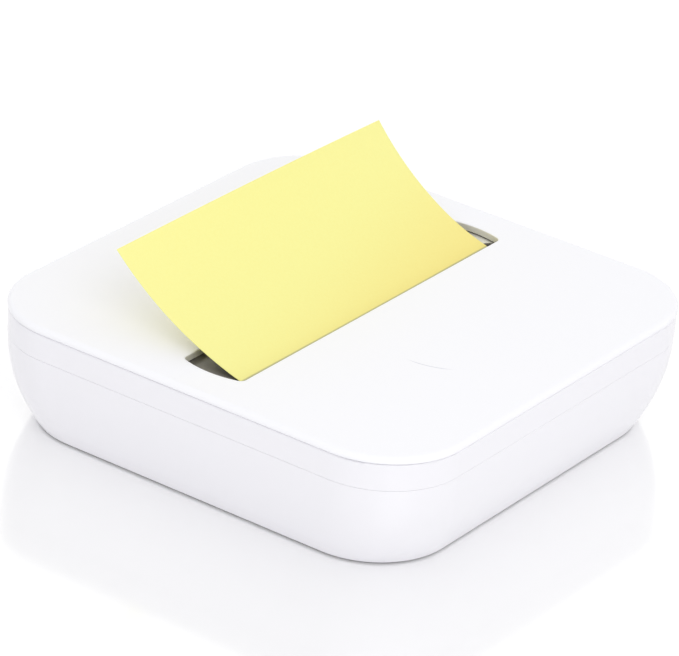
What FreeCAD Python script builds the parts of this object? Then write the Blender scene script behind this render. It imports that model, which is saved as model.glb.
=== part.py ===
import FreeCAD, Part
import math
import os
import Sketcher
from FreeCAD import Vector

# Desk dispenser for pop-up notes: a steel plate bonded to a moulded frame, clipped on a weighted tray.
# Millimetres. The origin is the middle of the footprint on the desk, X runs along the slot,
# -Y is the front and Z is up.

doc = FreeCAD.newDocument("note_dispenser")
sheet = doc.addObject("Spreadsheet::Sheet", "Sizes")

SIZES = [
    # Outline in plan
    ("pad_side", 76.2, "standard note"),
    ("plate_margin", 10.6, "steel plate beyond the pad, on each side"),
    ("plate_corner", 16.4, "corner radius of the plate in plan"),
    ("frame_inset", 0.2, "how far the frame's side stands in from the plate's"),
    ("tray_inset", 0.06, "how far the tray's rim stands in from the frame's skirt"),
    ("flank_inset", 4.4, "how far the tray's sides curve in at the bottom edge"),
    ("flank_corner_share", 0.2, "corner radius lost for each millimetre of inset"),
    # Stack, from the desk upward
    ("foot_gap", 0.3, "bottom edge of the tray above the desk"),
    ("closer_recess", 0.3, "bottom cover above the tray's bottom edge"),
    ("closer_skin", 0.15, "bottom cover above the screws' heads"),
    ("ballast_thickness", 3.5, "steel weight"),
    ("ballast_play", 0.1, "gap above the weight"),
    ("floor_thickness", 1.7, "floor that the pad lies on"),
    ("pad_thickness", 11.9, "full pad of notes"),
    ("pad_headroom", 2.35, "room above the pad"),
    ("deck_thickness", 1.2, "frame's deck under the plate"),
    ("adhesive_thickness", 0.15, "bonding sheet"),
    ("plate_thickness", 1.3, "steel plate with its powder coat"),
    # Plate and slot
    ("plate_edge_land", 0.1, "straight edge between the plate's upper and lower round"),
    ("plate_lower_round", 0.2, "lower edge of the plate"),
    ("slot_width", 13.2, "slot across the note"),
    ("slot_margin", 1.7, "slot beyond the note at each end, between its corners"),
    ("slot_bow", 1.2, "how far each end of the slot bows out"),
    ("slot_corner", 1.2, "corner radius of the slot"),
    ("slot_round", 0.3, "upper edge of the slot"),
    # Frame
    ("skirt_height", 5.15, "frame's side, from the deck down to the seam"),
    ("skirt_wall", 2.0, "wall of the skirt above the joint"),
    ("skirt_lip", 1.1, "wall of the skirt outside the tray's tongue"),
    ("joint_clearance", 0.15, "gap between the tongue and the lip"),
    ("seam_gap", 0.05, "height of the parting seam"),
    ("tongue_thickness", 0.9, "tongue on the tray's rim"),
    ("tongue_height", 2.5, "tongue above the rim"),
    ("tongue_headroom", 0.5, "gap above the tongue"),
    ("seam_round", 0.1, "edges at the parting seam"),
    ("deck_edge_round", 0.4, "frame's edge under the plate"),
    ("deck_window_setback", 5.2, "deck's window beyond the start of the note's bends"),
    ("deck_window_margin", 0.65, "deck's window beyond the slot's corners"),
    ("deck_window_corner", 3.0, "corner radius of the deck's window"),
    ("tab_length", 8.5, "deck's tabs over the pad's far corners"),
    ("tab_setback", 3.1, "deck's tabs behind the slot's near edge"),
    ("tab_corner", 1.5, "free corner of a tab"),
    ("collar_wall", 1.2, "collar under the deck"),
    ("collar_setback", 0.75, "collar beyond the ends of the deck's window"),
    ("collar_gap", 0.35, "collar above a full pad"),
    ("adhesive_margin", 1.6, "plate's edge beyond the bonding sheet"),
    ("adhesive_window_margin", 0.25, "bonding sheet's window beyond the slot's ends"),
    ("deck_rib_depth", 1.1, "ribs under the deck, from the collar to the skirt"),
    ("rib_thickness", 1.1, "ribs of the frame and the tray"),
    ("rib_reach", 22.0, "ribs from the middle of their side"),
    # Clips
    ("clip_width", 10.0, "clip tab"),
    ("clip_thickness", 1.1, "clip tab"),
    ("clip_hook", 0.8, "barb, outward"),
    ("clip_hook_height", 1.2, "barb, upright"),
    ("clip_clearance", 0.2, "gaps at the clip"),
    ("ledge_depth", 0.85, "ledge that the barb goes under"),
    ("ledge_height", 1.6, "ledge, upright"),
    ("ledge_below_rim", 0.6, "underside of the ledge below the rim"),
    ("ledge_extra_width", 2.0, "ledge wider than the clip"),
    # Tray
    ("moat_floor", 3.1, "bottom of the moat above the tray's bottom edge"),
    ("well_wall", 1.4, "wall of the block under the pad"),
    ("bay_margin", 2.9, "wall around the bay for the weight, at the tray's bottom edge"),
    ("pad_clearance", 0.9, "gap beside the pad"),
    ("guide_thickness", 1.3, "corner guides of the pad"),
    ("guide_leg", 18.0, "leg of a corner guide"),
    ("guide_below_pad", 1.0, "corner guides below the top of a full pad"),
    ("tray_edge_round", 0.3, "bottom edge of the tray"),
    # Screws, weight and feet
    ("screw_setback", 4.5, "screws from the edge of the weight"),
    ("boss_diameter", 6.0, "screw boss"),
    ("pilot_diameter", 2.1, "hole in the boss"),
    ("pilot_skin", 0.7, "floor left above the hole in the boss"),
    ("screw_diameter", 2.0, "core of the shank, without its thread"),
    ("screw_spare", 0.8, "hole beyond the screw's point"),
    ("screw_head_diameter", 4.4, "countersunk head"),
    ("screw_head_edge", 0.25, "rim of the head"),
    ("screw_point", 0.9, "point of the screw"),
    ("screw_hole_clearance", 0.4, "hole in the bottom cover wider than the shank"),
    ("sink_clearance", 0.2, "countersink wider than the head"),
    ("recess_width", 0.8, "arm of the cross recess"),
    ("recess_length", 2.8, "cross recess, over all"),
    ("recess_depth", 0.9, "cross recess"),
    ("recess_corner", 0.2, "corners of an arm"),
    ("ballast_clearance", 1.5, "gap around the weight"),
    ("boss_clearance", 0.5, "hole in the weight around a boss"),
    ("closer_clearance", 0.2, "bottom cover in the bay"),
    ("foot_setback", 10.0, "middle of a foot from the sides of the bay"),
    ("foot_diameter", 12.0, "rubber foot"),
    ("foot_clearance", 0.15, "recess around a foot"),
    ("foot_recess_depth", 0.8, "recess for a foot"),
    ("foot_chamfer", 0.3, "lower edge of a foot"),
    # Standing note: its angle to the desk at the slot, at the middle bend and at the free edge
    ("sheet_thickness", 0.12, "one note"),
    ("sheet_clearance", 0.1, "tail above the pad where it comes closest"),
    ("sheet_entry_rise", 0.25, "start of the bends above the deck's underside"),
    ("sheet_entry_setback", 3.2, "start of the bends in front of the slot's edge"),
    ("sheet_skew", 0.6, "start of the bends, further forward at the right than at the middle"),
    ("lower_bend_length", 17.0, "along the note"),
    ("upper_bend_length", 21.0, "along the note"),
    ("slot_angle_left", 12.0, "left edge"),
    ("slot_angle_middle", 8.0, "middle"),
    ("slot_angle_right", 7.0, "right edge"),
    ("bend_angle_left", 25.0, "left edge"),
    ("bend_angle_middle", 27.5, "middle"),
    ("bend_angle_right", 29.0, "right edge"),
    ("free_angle_left", 44.0, "left edge"),
    ("free_angle_middle", 59.0, "middle"),
    ("free_angle_right", 50.5, "right edge"),
]

for row, (alias, number, meaning) in enumerate(SIZES, start=1):
    sheet.set(f"A{row}", meaning)
    sheet.set(f"B{row}", str(number))
    sheet.setAlias(f"B{row}", alias)
doc.recompute()

# Levels, as formulas over the cells
TRAY_EDGE = "Sizes.foot_gap"
CLOSER_UNDER = f"{TRAY_EDGE} + Sizes.closer_recess"
HEAD_HEIGHT = "(Sizes.screw_head_edge + (Sizes.screw_head_diameter - Sizes.screw_diameter) / 2)"
CLOSER_THICKNESS = f"({HEAD_HEIGHT} + Sizes.closer_skin)"
CLOSER_TOP = f"{CLOSER_UNDER} + {CLOSER_THICKNESS}"
FLOOR_UNDER = f"{CLOSER_TOP} + Sizes.ballast_thickness + Sizes.ballast_play"
FLOOR_TOP = f"{FLOOR_UNDER} + Sizes.floor_thickness"
PILOT_TOP = f"{FLOOR_TOP} - Sizes.pilot_skin"
SCREW_LENGTH = f"({PILOT_TOP} - Sizes.screw_spare - ({CLOSER_UNDER}))"
PAD_TOP = f"{FLOOR_TOP} + Sizes.pad_thickness"
DECK_UNDER = f"{PAD_TOP} + Sizes.pad_headroom"
DECK_TOP = f"{DECK_UNDER} + Sizes.deck_thickness"
PLATE_UNDER = f"{DECK_TOP} + Sizes.adhesive_thickness"
SKIRT_UNDER = f"{DECK_TOP} - Sizes.skirt_height"
RIM = f"{SKIRT_UNDER} - Sizes.seam_gap"
MOAT_FLOOR = f"{TRAY_EDGE} + Sizes.moat_floor"

# Sides and corner radii in plan
PLATE_SIDE = "Sizes.pad_side + 2 * Sizes.plate_margin"
FRAME_SIDE = f"{PLATE_SIDE} - 2 * Sizes.frame_inset"
FRAME_CORNER = "Sizes.plate_corner - Sizes.frame_inset"
RIM_SIDE = f"{FRAME_SIDE} - 2 * Sizes.tray_inset"
RIM_CORNER = f"{FRAME_CORNER} - Sizes.tray_inset"
LIP_INSET = "Sizes.skirt_lip"
TONGUE_INSET = f"{LIP_INSET} + Sizes.joint_clearance"
TRAY_INSIDE = f"{TONGUE_INSET} + Sizes.tongue_thickness"
TRAY_WALL = f"({TRAY_INSIDE} - Sizes.tray_inset)"
BAY_SIDE = f"{RIM_SIDE} - 2 * Sizes.flank_inset - 2 * Sizes.bay_margin"
BAY_CORNER = f"{RIM_CORNER} - Sizes.flank_corner_share * Sizes.flank_inset - Sizes.bay_margin"
WELL_SIDE = f"{BAY_SIDE} + 2 * Sizes.well_wall"
WELL_CORNER = f"{BAY_CORNER} + Sizes.well_wall"
BALLAST_SIDE = f"{BAY_SIDE} - 2 * Sizes.ballast_clearance"
SCREW_REACH = f"(({BALLAST_SIDE}) / 2 - Sizes.screw_setback)"
FOOT_REACH = f"(({BAY_SIDE}) / 2 - Sizes.foot_setback)"
GUIDE_INSIDE = "Sizes.pad_side / 2 + Sizes.pad_clearance"
SLOT_LENGTH = "(Sizes.pad_side + 2 * Sizes.slot_margin)"
WINDOW_LENGTH = f"{SLOT_LENGTH} + 2 * Sizes.deck_window_margin"
WINDOW_WIDTH = "Sizes.slot_width + 2 * Sizes.sheet_entry_setback + 2 * Sizes.deck_window_setback"
NOTE_WAY = "(Sizes.sheet_entry_setback + Sizes.deck_window_setback + Sizes.tab_setback)"
COLLAR_INSIDE = f"{WINDOW_LENGTH} + 2 * Sizes.collar_setback"
COLLAR_CORNER = f"(({COLLAR_INSIDE}) / 2 - ({FRAME_SIDE}) / 2 + {FRAME_CORNER})"
COLLAR_UNDER = f"{PAD_TOP} + Sizes.collar_gap"

# The tray's flank is one arc, upright at the rim
FLANK_HEIGHT = f"({RIM} - ({TRAY_EDGE}))"
FLANK_RADIUS = f"(({FLANK_HEIGHT} ^ 2 + Sizes.flank_inset ^ 2) / (2 * Sizes.flank_inset))"
FLANK_SHARES = [0.0, 0.16, 0.36, 0.62, 1.0]

# Copies about the upright axis
CORNERS = 4
CLIPS = 2

# Two lengths closer than this are the same, in millimetres
SAME = 1e-3


def value(formula):
    # The number that a formula over the cells gives now.
    return float(sheet.evalExpression(formula))


def inset_at(level):
    # How far the flank stands in from the rim at a level.
    return f"({FLANK_RADIUS} - sqrt({FLANK_RADIUS} ^ 2 - ({RIM} - ({level})) ^ 2))"


def new_body(label):
    body = doc.addObject("PartDesign::Body", label)
    body.Label = label
    return body


def origin_feature(body, role):
    return next(item for item in body.Origin.OriginFeatures if item.Role == role)


def new_sketch(body, name, level="0", role="XY_Plane"):
    sketch = body.newObject("Sketcher::SketchObject", f"{body.Name}_{name}")
    sketch.AttachmentSupport = (origin_feature(body, role), "")
    sketch.MapMode = "FlatFace"
    if level != "0":
        sketch.setExpression("AttachmentOffset.Base.z", level)
    return sketch


def hold(sketch, name, formula, *constraint):
    # A dimension named in the sketch and bound to a formula.
    index = sketch.addConstraint(Sketcher.Constraint(*constraint, value(formula)))
    sketch.renameConstraint(index, name)
    sketch.setExpression(f"Constraints.{name}", formula)


def add_rounded_rectangle(sketch, tag, width, depth, corner):
    # Four arcs joined by four lines, centred on the sketch's origin.
    reach_x = f"({width}) / 2 - ({corner})"
    reach_y = f"({depth}) / 2 - ({corner})"
    radius = value(corner)
    first = sketch.GeometryCount
    for turn, (side_x, side_y) in enumerate([(1, 1), (-1, 1), (-1, -1), (1, -1)]):
        centre = Vector(side_x * value(reach_x), side_y * value(reach_y), 0)
        circle = Part.Circle(centre, Vector(0, 0, 1), radius)
        start = math.radians(90 * turn)
        sketch.addGeometry(Part.ArcOfCircle(circle, start, start + math.pi / 2))
    for turn in range(4):
        arc, following, line = first + turn, first + (turn + 1) % 4, first + 4 + turn
        ends = sketch.Geometry[arc].EndPoint, sketch.Geometry[following].StartPoint
        sketch.addGeometry(Part.LineSegment(*ends))
        sketch.addConstraint(Sketcher.Constraint("Tangent", arc, 2, line, 1))
        sketch.addConstraint(Sketcher.Constraint("Tangent", line, 2, following, 1))
        sketch.addConstraint(Sketcher.Constraint("Vertical" if turn % 2 else "Horizontal", line))
    for turn in range(1, 4):
        sketch.addConstraint(Sketcher.Constraint("Equal", first, first + turn))
    sketch.addConstraint(Sketcher.Constraint("Symmetric", first, 3, first + 2, 3, -1, 1))
    hold(sketch, f"{tag}_corner", corner, "Radius", first)
    hold(sketch, f"{tag}_reach_x", reach_x, "DistanceX", -1, 1, first, 3)
    hold(sketch, f"{tag}_reach_y", reach_y, "DistanceY", -1, 1, first, 3)


def add_circle(sketch, tag, reach_x, reach_y, diameter):
    centre = Vector(value(reach_x), value(reach_y), 0)
    circle = sketch.addGeometry(Part.Circle(centre, Vector(0, 0, 1), value(diameter) / 2))
    hold(sketch, f"{tag}_diameter", diameter, "Diameter", circle)
    for name, formula, distance, axis in [
        ("x", reach_x, "DistanceX", -2),
        ("y", reach_y, "DistanceY", -1),
    ]:
        if formula == "0":
            sketch.addConstraint(Sketcher.Constraint("PointOnObject", circle, 3, axis))
        else:
            hold(sketch, f"{tag}_{name}", formula, distance, -1, 1, circle, 3)


def add_polygon(sketch, corners):
    # Straight sides through corners given as pairs of formulas, none of them negative.
    points = [Vector(value(across), value(along), 0) for across, along in corners]
    count = len(corners)
    for index in range(count):
        sketch.addGeometry(Part.LineSegment(points[index], points[(index + 1) % count]))
    for index, (across, along) in enumerate(corners):
        sketch.addConstraint(Sketcher.Constraint("Coincident", (index - 1) % count, 2, index, 1))
        for name, formula, distance, axis in [
            ("across", across, "DistanceX", -2),
            ("along", along, "DistanceY", -1),
        ]:
            if formula == "0":
                sketch.addConstraint(Sketcher.Constraint("PointOnObject", index, 1, axis))
            else:
                hold(sketch, f"{name}_{index}", formula, distance, -1, 1, index, 1)


def rounded_square(body, name, level, side, corner):
    sketch = new_sketch(body, name, level)
    add_rounded_rectangle(sketch, "outline", side, side, corner)
    return sketch


def grow(body, kind, name, before):
    # The feature has to have changed the body's volume the way its kind does.
    doc.recompute()
    after = body.Shape.Volume
    wrong = after >= before if kind == "cut" else after <= before
    if wrong:
        raise RuntimeError(f"{body.Label}: {name} changed nothing, {before:.3f} to {after:.3f}")


def pad(body, name, sketch, length, down=False, symmetric=False):
    before = body.Shape.Volume if body.Tip else 0.0
    feature = body.newObject("PartDesign::Pad", f"{body.Name}_{name}")
    feature.Profile = sketch
    feature.setExpression("Length", length)
    feature.SideType = "Symmetric" if symmetric else "One side"
    feature.Reversed = down
    grow(body, "add", name, before)
    return feature


def pocket(body, name, sketch, length, up=False):
    before = body.Shape.Volume
    feature = body.newObject("PartDesign::Pocket", f"{body.Name}_{name}")
    feature.Profile = sketch
    feature.setExpression("Length", length)
    feature.Reversed = up
    grow(body, "cut", name, before)
    return feature


def loft(body, kind, name, sections):
    before = body.Shape.Volume if body.Tip else 0.0
    family = "PartDesign::AdditiveLoft" if kind == "add" else "PartDesign::SubtractiveLoft"
    feature = body.newObject(family, f"{body.Name}_{name}")
    feature.Profile = sections[0]
    feature.Sections = sections[1:]
    grow(body, kind, name, before)
    return feature


def repeat_round(body, name, features, count):
    # Copies about the upright axis.
    pattern = body.newObject("PartDesign::PolarPattern", f"{body.Name}_{name}")
    pattern.Originals = features
    pattern.Axis = (origin_feature(body, "Z_Axis"), [""])
    pattern.Angle = 360
    pattern.Occurrences = count
    body.Tip = pattern
    doc.recompute()


def dress(body, kind, name, wanted):
    # A fillet or chamfer on the edges that the given test picks.
    base = body.Tip
    edges = [f"Edge{index}" for index, edge in enumerate(base.Shape.Edges, start=1) if wanted(edge)]
    if not edges:
        raise RuntimeError(f"{body.Label}: {name} found no edge")
    feature = body.newObject(f"PartDesign::{kind}", f"{body.Name}_{name}")
    feature.Base = (base, edges)
    return feature


def fillet(body, name, radius, wanted):
    feature = dress(body, "Fillet", name, wanted)
    feature.setExpression("Radius", radius)
    doc.recompute()


def chamfer(body, name, size, wanted):
    feature = dress(body, "Chamfer", name, wanted)
    feature.setExpression("Size", size)
    doc.recompute()


def lies_at(edge, level):
    return all(abs(vertex.Z - level) < SAME for vertex in edge.Vertexes)


def reach_of(edge):
    # Largest distance from the middle along X or Y.
    box = edge.BoundBox
    return max(abs(box.XMin), abs(box.XMax), abs(box.YMin), abs(box.YMax))


def on_outline(level, side):
    # Edges at a level that run along the outline of the given side.
    level_now = value(level)
    half = value(side) / 2
    return lambda edge: lies_at(edge, level_now) and abs(reach_of(edge) - half) < SAME


def slot_sketch(body, name, level):
    # Two long sides and two ends that bow out.
    sketch = new_sketch(body, name, level)
    half_x = f"{SLOT_LENGTH} / 2"
    half_y = "Sizes.slot_width / 2"
    right, top, bow = value(half_x), value(half_y), value("Sizes.slot_bow")
    corners = [
        Vector(side_x * right, side_y * top, 0)
        for side_x, side_y in [(1, 1), (-1, 1), (-1, -1), (1, -1)]
    ]
    sketch.addGeometry(Part.LineSegment(corners[0], corners[1]))
    sketch.addGeometry(Part.Arc(corners[1], Vector(-right - bow, 0, 0), corners[2]))
    sketch.addGeometry(Part.LineSegment(corners[2], corners[3]))
    sketch.addGeometry(Part.Arc(corners[3], Vector(right + bow, 0, 0), corners[0]))
    # An arc's first point is the one that its curve leaves in the positive turn.
    for line, line_end, arc, arc_end in [(0, 2, 1, 1), (2, 1, 1, 2), (2, 2, 3, 1), (0, 1, 3, 2)]:
        sketch.addConstraint(Sketcher.Constraint("Coincident", line, line_end, arc, arc_end))
    sketch.addConstraint(Sketcher.Constraint("Horizontal", 0))
    sketch.addConstraint(Sketcher.Constraint("Symmetric", 0, 1, 2, 1, -1, 1))
    sketch.addConstraint(Sketcher.Constraint("Symmetric", 0, 2, 2, 2, -1, 1))
    sketch.addConstraint(Sketcher.Constraint("Vertical", 0, 1, 2, 2))
    sketch.addConstraint(Sketcher.Constraint("Equal", 1, 3))
    hold(sketch, "half_length", half_x, "DistanceX", -1, 1, 0, 1)
    hold(sketch, "half_width", half_y, "DistanceY", -1, 1, 0, 1)
    bow_radius = f"(({half_y}) ^ 2 + Sizes.slot_bow ^ 2) / (2 * Sizes.slot_bow)"
    hold(sketch, "bow_radius", bow_radius, "Radius", 1)
    return sketch


def paired_ribs(body, name, corners):
    # Two upright ribs on each side of the outline, through corners given as pairs of formulas.
    ribs = []
    for place_name, offset in (("left", "-Sizes.rib_reach"), ("right", "Sizes.rib_reach")):
        outline = new_sketch(body, f"{name}_{place_name}_outline", offset, role="XZ_Plane")
        add_polygon(outline, corners)
        ribs.append(pad(body, f"{name}_{place_name}", outline, "Sizes.rib_thickness", symmetric=True))
    repeat_round(body, f"{name}s", ribs, CORNERS)


def make_top_plate():
    body = new_body("top_plate")
    outline = rounded_square(body, "outline", PLATE_UNDER, PLATE_SIDE, "Sizes.plate_corner")
    pad(body, "blank", outline, "Sizes.plate_thickness")
    slot = slot_sketch(body, "slot_outline", PLATE_UNDER)
    pocket(body, "slot", slot, "Sizes.plate_thickness", up=True)
    plate_top = f"{PLATE_UNDER} + Sizes.plate_thickness"
    top = value(plate_top)
    slot_reach = value(f"{SLOT_LENGTH} / 2 + Sizes.slot_bow") + SAME
    edge_round = "Sizes.plate_thickness - Sizes.plate_edge_land - Sizes.plate_lower_round"

    def in_slot(edge):
        return reach_of(edge) < slot_reach

    def upright_in_slot(edge):
        return in_slot(edge) and edge.BoundBox.ZLength > SAME

    fillet(body, "slot_corners", "Sizes.slot_corner", upright_in_slot)
    fillet(body, "upper_edge", edge_round, on_outline(plate_top, PLATE_SIDE))
    fillet(body, "lower_edge", "Sizes.plate_lower_round", on_outline(PLATE_UNDER, PLATE_SIDE))
    fillet(body, "slot_edge", "Sizes.slot_round", lambda edge: in_slot(edge) and lies_at(edge, top))
    return body


def make_plate_adhesive():
    body = new_body("plate_adhesive")
    outline = new_sketch(body, "outline", DECK_TOP)
    side = f"{PLATE_SIDE} - 2 * Sizes.adhesive_margin"
    add_rounded_rectangle(outline, "outline", side, side, "Sizes.plate_corner - Sizes.adhesive_margin")
    length = f"{SLOT_LENGTH} + 2 * Sizes.slot_bow + 2 * Sizes.adhesive_window_margin"
    add_rounded_rectangle(outline, "window", length, WINDOW_WIDTH, "Sizes.deck_window_corner")
    pad(body, "sheet", outline, "Sizes.adhesive_thickness")
    return body


def make_cover_frame():
    body = new_body("cover_frame")
    outline = rounded_square(body, "outline", SKIRT_UNDER, FRAME_SIDE, FRAME_CORNER)
    pad(body, "block", outline, "Sizes.skirt_height")
    skirt_inside = rounded_square(
        body, "skirt_inside", SKIRT_UNDER, f"{FRAME_SIDE} - 2 * Sizes.skirt_wall",
        f"{FRAME_CORNER} - Sizes.skirt_wall")
    pocket(body, "hollow", skirt_inside, "Sizes.skirt_height - Sizes.deck_thickness", up=True)
    lip_side = f"{FRAME_SIDE} - 2 * {LIP_INSET}"
    lip_inside = rounded_square(body, "lip_inside", SKIRT_UNDER, lip_side, f"{FRAME_CORNER} - {LIP_INSET}")
    lip_height = "Sizes.tongue_height - Sizes.seam_gap + Sizes.tongue_headroom"
    pocket(body, "joint_rebate", lip_inside, lip_height, up=True)

    # The deck's window is long where the note passes and leaves two tabs over the pad's far corners
    window = new_sketch(body, "window", DECK_UNDER)
    window_inside = f"{WINDOW_LENGTH} - 2 * Sizes.tab_length"
    add_rounded_rectangle(window, "window", window_inside, WINDOW_WIDTH, "Sizes.deck_window_corner")
    pocket(body, "deck_window", window, "Sizes.deck_thickness", up=True)
    way = new_sketch(body, "note_way_outline", DECK_UNDER)
    way.setExpression("AttachmentOffset.Base.y", f"({NOTE_WAY} - ({WINDOW_WIDTH})) / 2")
    add_rounded_rectangle(way, "way", WINDOW_LENGTH, NOTE_WAY, "Sizes.deck_window_corner")
    pocket(body, "note_way", way, "Sizes.deck_thickness", up=True)
    tab_end = value(f"({window_inside}) / 2")
    tab_front = value(f"{NOTE_WAY} - ({WINDOW_WIDTH}) / 2")

    def at_tab_corner(edge):
        middle = edge.BoundBox.Center
        return math.hypot(abs(middle.x) - tab_end, middle.y - tab_front) < SAME

    fillet(body, "tab_corners", "Sizes.tab_corner", at_tab_corner)

    # A collar in line with the tray's corners stiffens the deck round the pad
    collar = new_sketch(body, "collar_outline", DECK_UNDER)
    collar_outside = f"{COLLAR_INSIDE} + 2 * Sizes.collar_wall"
    add_rounded_rectangle(collar, "inside", COLLAR_INSIDE, COLLAR_INSIDE, COLLAR_CORNER)
    add_rounded_rectangle(
        collar, "outside", collar_outside, collar_outside, f"{COLLAR_CORNER} + Sizes.collar_wall")
    pad(body, "collar", collar, f"{DECK_UNDER} - ({COLLAR_UNDER})", down=True)
    rib_start = f"(({COLLAR_INSIDE}) / 2 + Sizes.collar_wall / 2)"
    rib_end = f"(({FRAME_SIDE}) / 2 - Sizes.skirt_wall / 2)"
    rib_under = f"{DECK_UNDER} - Sizes.deck_rib_depth"
    paired_ribs(body, "rib", [
        (rib_start, rib_under), (rib_end, rib_under), (rib_end, DECK_UNDER), (rib_start, DECK_UNDER)])

    # Clip tabs reach down inside the tongue and hook outward under the tray's ledges
    tab_outside = f"({RIM_SIDE}) / 2 - {TRAY_WALL} - Sizes.ledge_depth - Sizes.clip_clearance"
    tab_inside = f"{tab_outside} - Sizes.clip_thickness"
    barb = f"{RIM} - Sizes.ledge_below_rim - Sizes.clip_clearance"
    tip = f"{barb} - Sizes.clip_hook_height"
    clip = new_sketch(body, "clip_outline", role="XZ_Plane")
    add_polygon(clip, [
        (tab_inside, tip), (tab_outside, tip), (f"{tab_outside} + Sizes.clip_hook", barb),
        (tab_outside, barb), (tab_outside, DECK_UNDER), (tab_inside, DECK_UNDER)])
    tab = pad(body, "clip", clip, "Sizes.clip_width", symmetric=True)
    repeat_round(body, "clips", [tab], CLIPS)

    fillet(body, "deck_edge", "Sizes.deck_edge_round", on_outline(DECK_TOP, FRAME_SIDE))
    fillet(body, "seam_edge", "Sizes.seam_round", on_outline(SKIRT_UNDER, FRAME_SIDE))
    return body


def flank_sections(body, name, shares, lowest, wall):
    # Rounded squares along the flank, from a lowest level up to the rim.
    sections = []
    for index, share in enumerate(shares):
        level = f"({lowest} + {share} * ({RIM} - ({lowest})))"
        inset = inset_at(level)
        side = f"{RIM_SIDE} - 2 * {inset} - 2 * {wall}"
        corner = f"{RIM_CORNER} - Sizes.flank_corner_share * {inset} - {wall}"
        sections.append(rounded_square(body, f"{name}_{index}", level, side, corner))
    return sections


def make_base_tray():
    body = new_body("base_tray")
    loft(body, "add", "flank", flank_sections(body, "flank", FLANK_SHARES, TRAY_EDGE, "0"))
    tongue_side = f"{FRAME_SIDE} - 2 * ({TONGUE_INSET})"
    tongue = rounded_square(body, "tongue_outline", RIM, tongue_side, f"{FRAME_CORNER} - ({TONGUE_INSET})")
    pad(body, "tongue", tongue, "Sizes.tongue_height")
    loft(body, "cut", "hollow", flank_sections(body, "hollow", FLANK_SHARES[::2], MOAT_FLOOR, TRAY_WALL))
    mouth_side = f"{FRAME_SIDE} - 2 * ({TRAY_INSIDE})"
    mouth = rounded_square(body, "mouth_outline", RIM, mouth_side, f"{FRAME_CORNER} - ({TRAY_INSIDE})")
    pocket(body, "mouth", mouth, "Sizes.tongue_height", up=True)
    fillet(body, "bottom_edge", "Sizes.tray_edge_round", lambda edge: lies_at(edge, value(TRAY_EDGE)))
    fillet(body, "rim_edge", "Sizes.seam_round", on_outline(RIM, RIM_SIDE))

    # The block under the pad is hollow from below, for the weight
    well = rounded_square(body, "well_outline", MOAT_FLOOR, WELL_SIDE, WELL_CORNER)
    pad(body, "well", well, f"{FLOOR_TOP} - ({MOAT_FLOOR})")
    bay = rounded_square(body, "bay_outline", TRAY_EDGE, BAY_SIDE, BAY_CORNER)
    pocket(body, "bay", bay, f"{FLOOR_UNDER} - ({TRAY_EDGE})", up=True)

    # Ribs tie the block to the tray's wall across the moat
    rib_start = f"(({WELL_SIDE}) / 2 - Sizes.well_wall / 2)"
    wall_middle = f"({RIM_SIDE}) / 2 - {TRAY_WALL} / 2"
    paired_ribs(body, "rib", [
        (rib_start, MOAT_FLOOR), (f"{wall_middle} - {inset_at(MOAT_FLOOR)}", MOAT_FLOOR),
        (f"{wall_middle} - {inset_at(FLOOR_TOP)}", FLOOR_TOP), (rib_start, FLOOR_TOP)])

    # Screw bosses hang under the floor
    boss = new_sketch(body, "boss_outline", CLOSER_TOP)
    add_circle(boss, "boss", SCREW_REACH, "0", "Sizes.boss_diameter")
    boss_pad = pad(body, "boss", boss, f"{FLOOR_UNDER} - ({CLOSER_TOP})")
    repeat_round(body, "bosses", [boss_pad], CORNERS)
    pilot = new_sketch(body, "pilot_outline", CLOSER_TOP)
    add_circle(pilot, "pilot", SCREW_REACH, "0", "Sizes.pilot_diameter")
    pilot_hole = pocket(body, "pilot", pilot, f"{PILOT_TOP} - ({CLOSER_TOP})", up=True)
    repeat_round(body, "pilots", [pilot_hole], CORNERS)

    # Corner guides stand on the floor and keep the pad square to the slot
    guide_outside = f"{GUIDE_INSIDE} + Sizes.guide_thickness"
    leg_end = f"{guide_outside} - Sizes.guide_leg"
    guide = new_sketch(body, "guide_outline", FLOOR_TOP)
    add_polygon(guide, [
        (guide_outside, leg_end), (guide_outside, guide_outside), (leg_end, guide_outside),
        (leg_end, GUIDE_INSIDE), (GUIDE_INSIDE, GUIDE_INSIDE), (GUIDE_INSIDE, leg_end)])
    guide_pad = pad(body, "guide", guide, "Sizes.pad_thickness - Sizes.guide_below_pad")
    repeat_round(body, "guides", [guide_pad], CORNERS)

    # Ledges inside the rim hold the frame's clips
    ledge_outside = f"({RIM_SIDE}) / 2 - {TRAY_WALL} + Sizes.tongue_thickness / 2"
    ledge_inside = f"({RIM_SIDE}) / 2 - {TRAY_WALL} - Sizes.ledge_depth"
    ledge_under = f"{RIM} - Sizes.ledge_below_rim"
    ledge_top = f"{ledge_under} + Sizes.ledge_height"
    ledge = new_sketch(body, "ledge_outline", role="XZ_Plane")
    add_polygon(ledge, [
        (ledge_inside, ledge_under), (ledge_outside, ledge_under), (ledge_outside, ledge_top),
        (ledge_inside, ledge_top)])
    ledge_pad = pad(body, "ledge", ledge, "Sizes.clip_width + Sizes.ledge_extra_width", symmetric=True)
    repeat_round(body, "ledges", [ledge_pad], CLIPS)
    return body


def make_ballast_plate():
    body = new_body("ballast_plate")
    corner = f"{BAY_CORNER} - Sizes.ballast_clearance"
    outline = rounded_square(body, "outline", CLOSER_TOP, BALLAST_SIDE, corner)
    pad(body, "slab", outline, "Sizes.ballast_thickness")
    hole = new_sketch(body, "hole_outline", CLOSER_TOP)
    add_circle(hole, "hole", SCREW_REACH, "0", "Sizes.boss_diameter + 2 * Sizes.boss_clearance")
    boss_hole = pocket(body, "boss_hole", hole, "Sizes.ballast_thickness", up=True)
    repeat_round(body, "boss_holes", [boss_hole], CORNERS)
    return body


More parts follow.
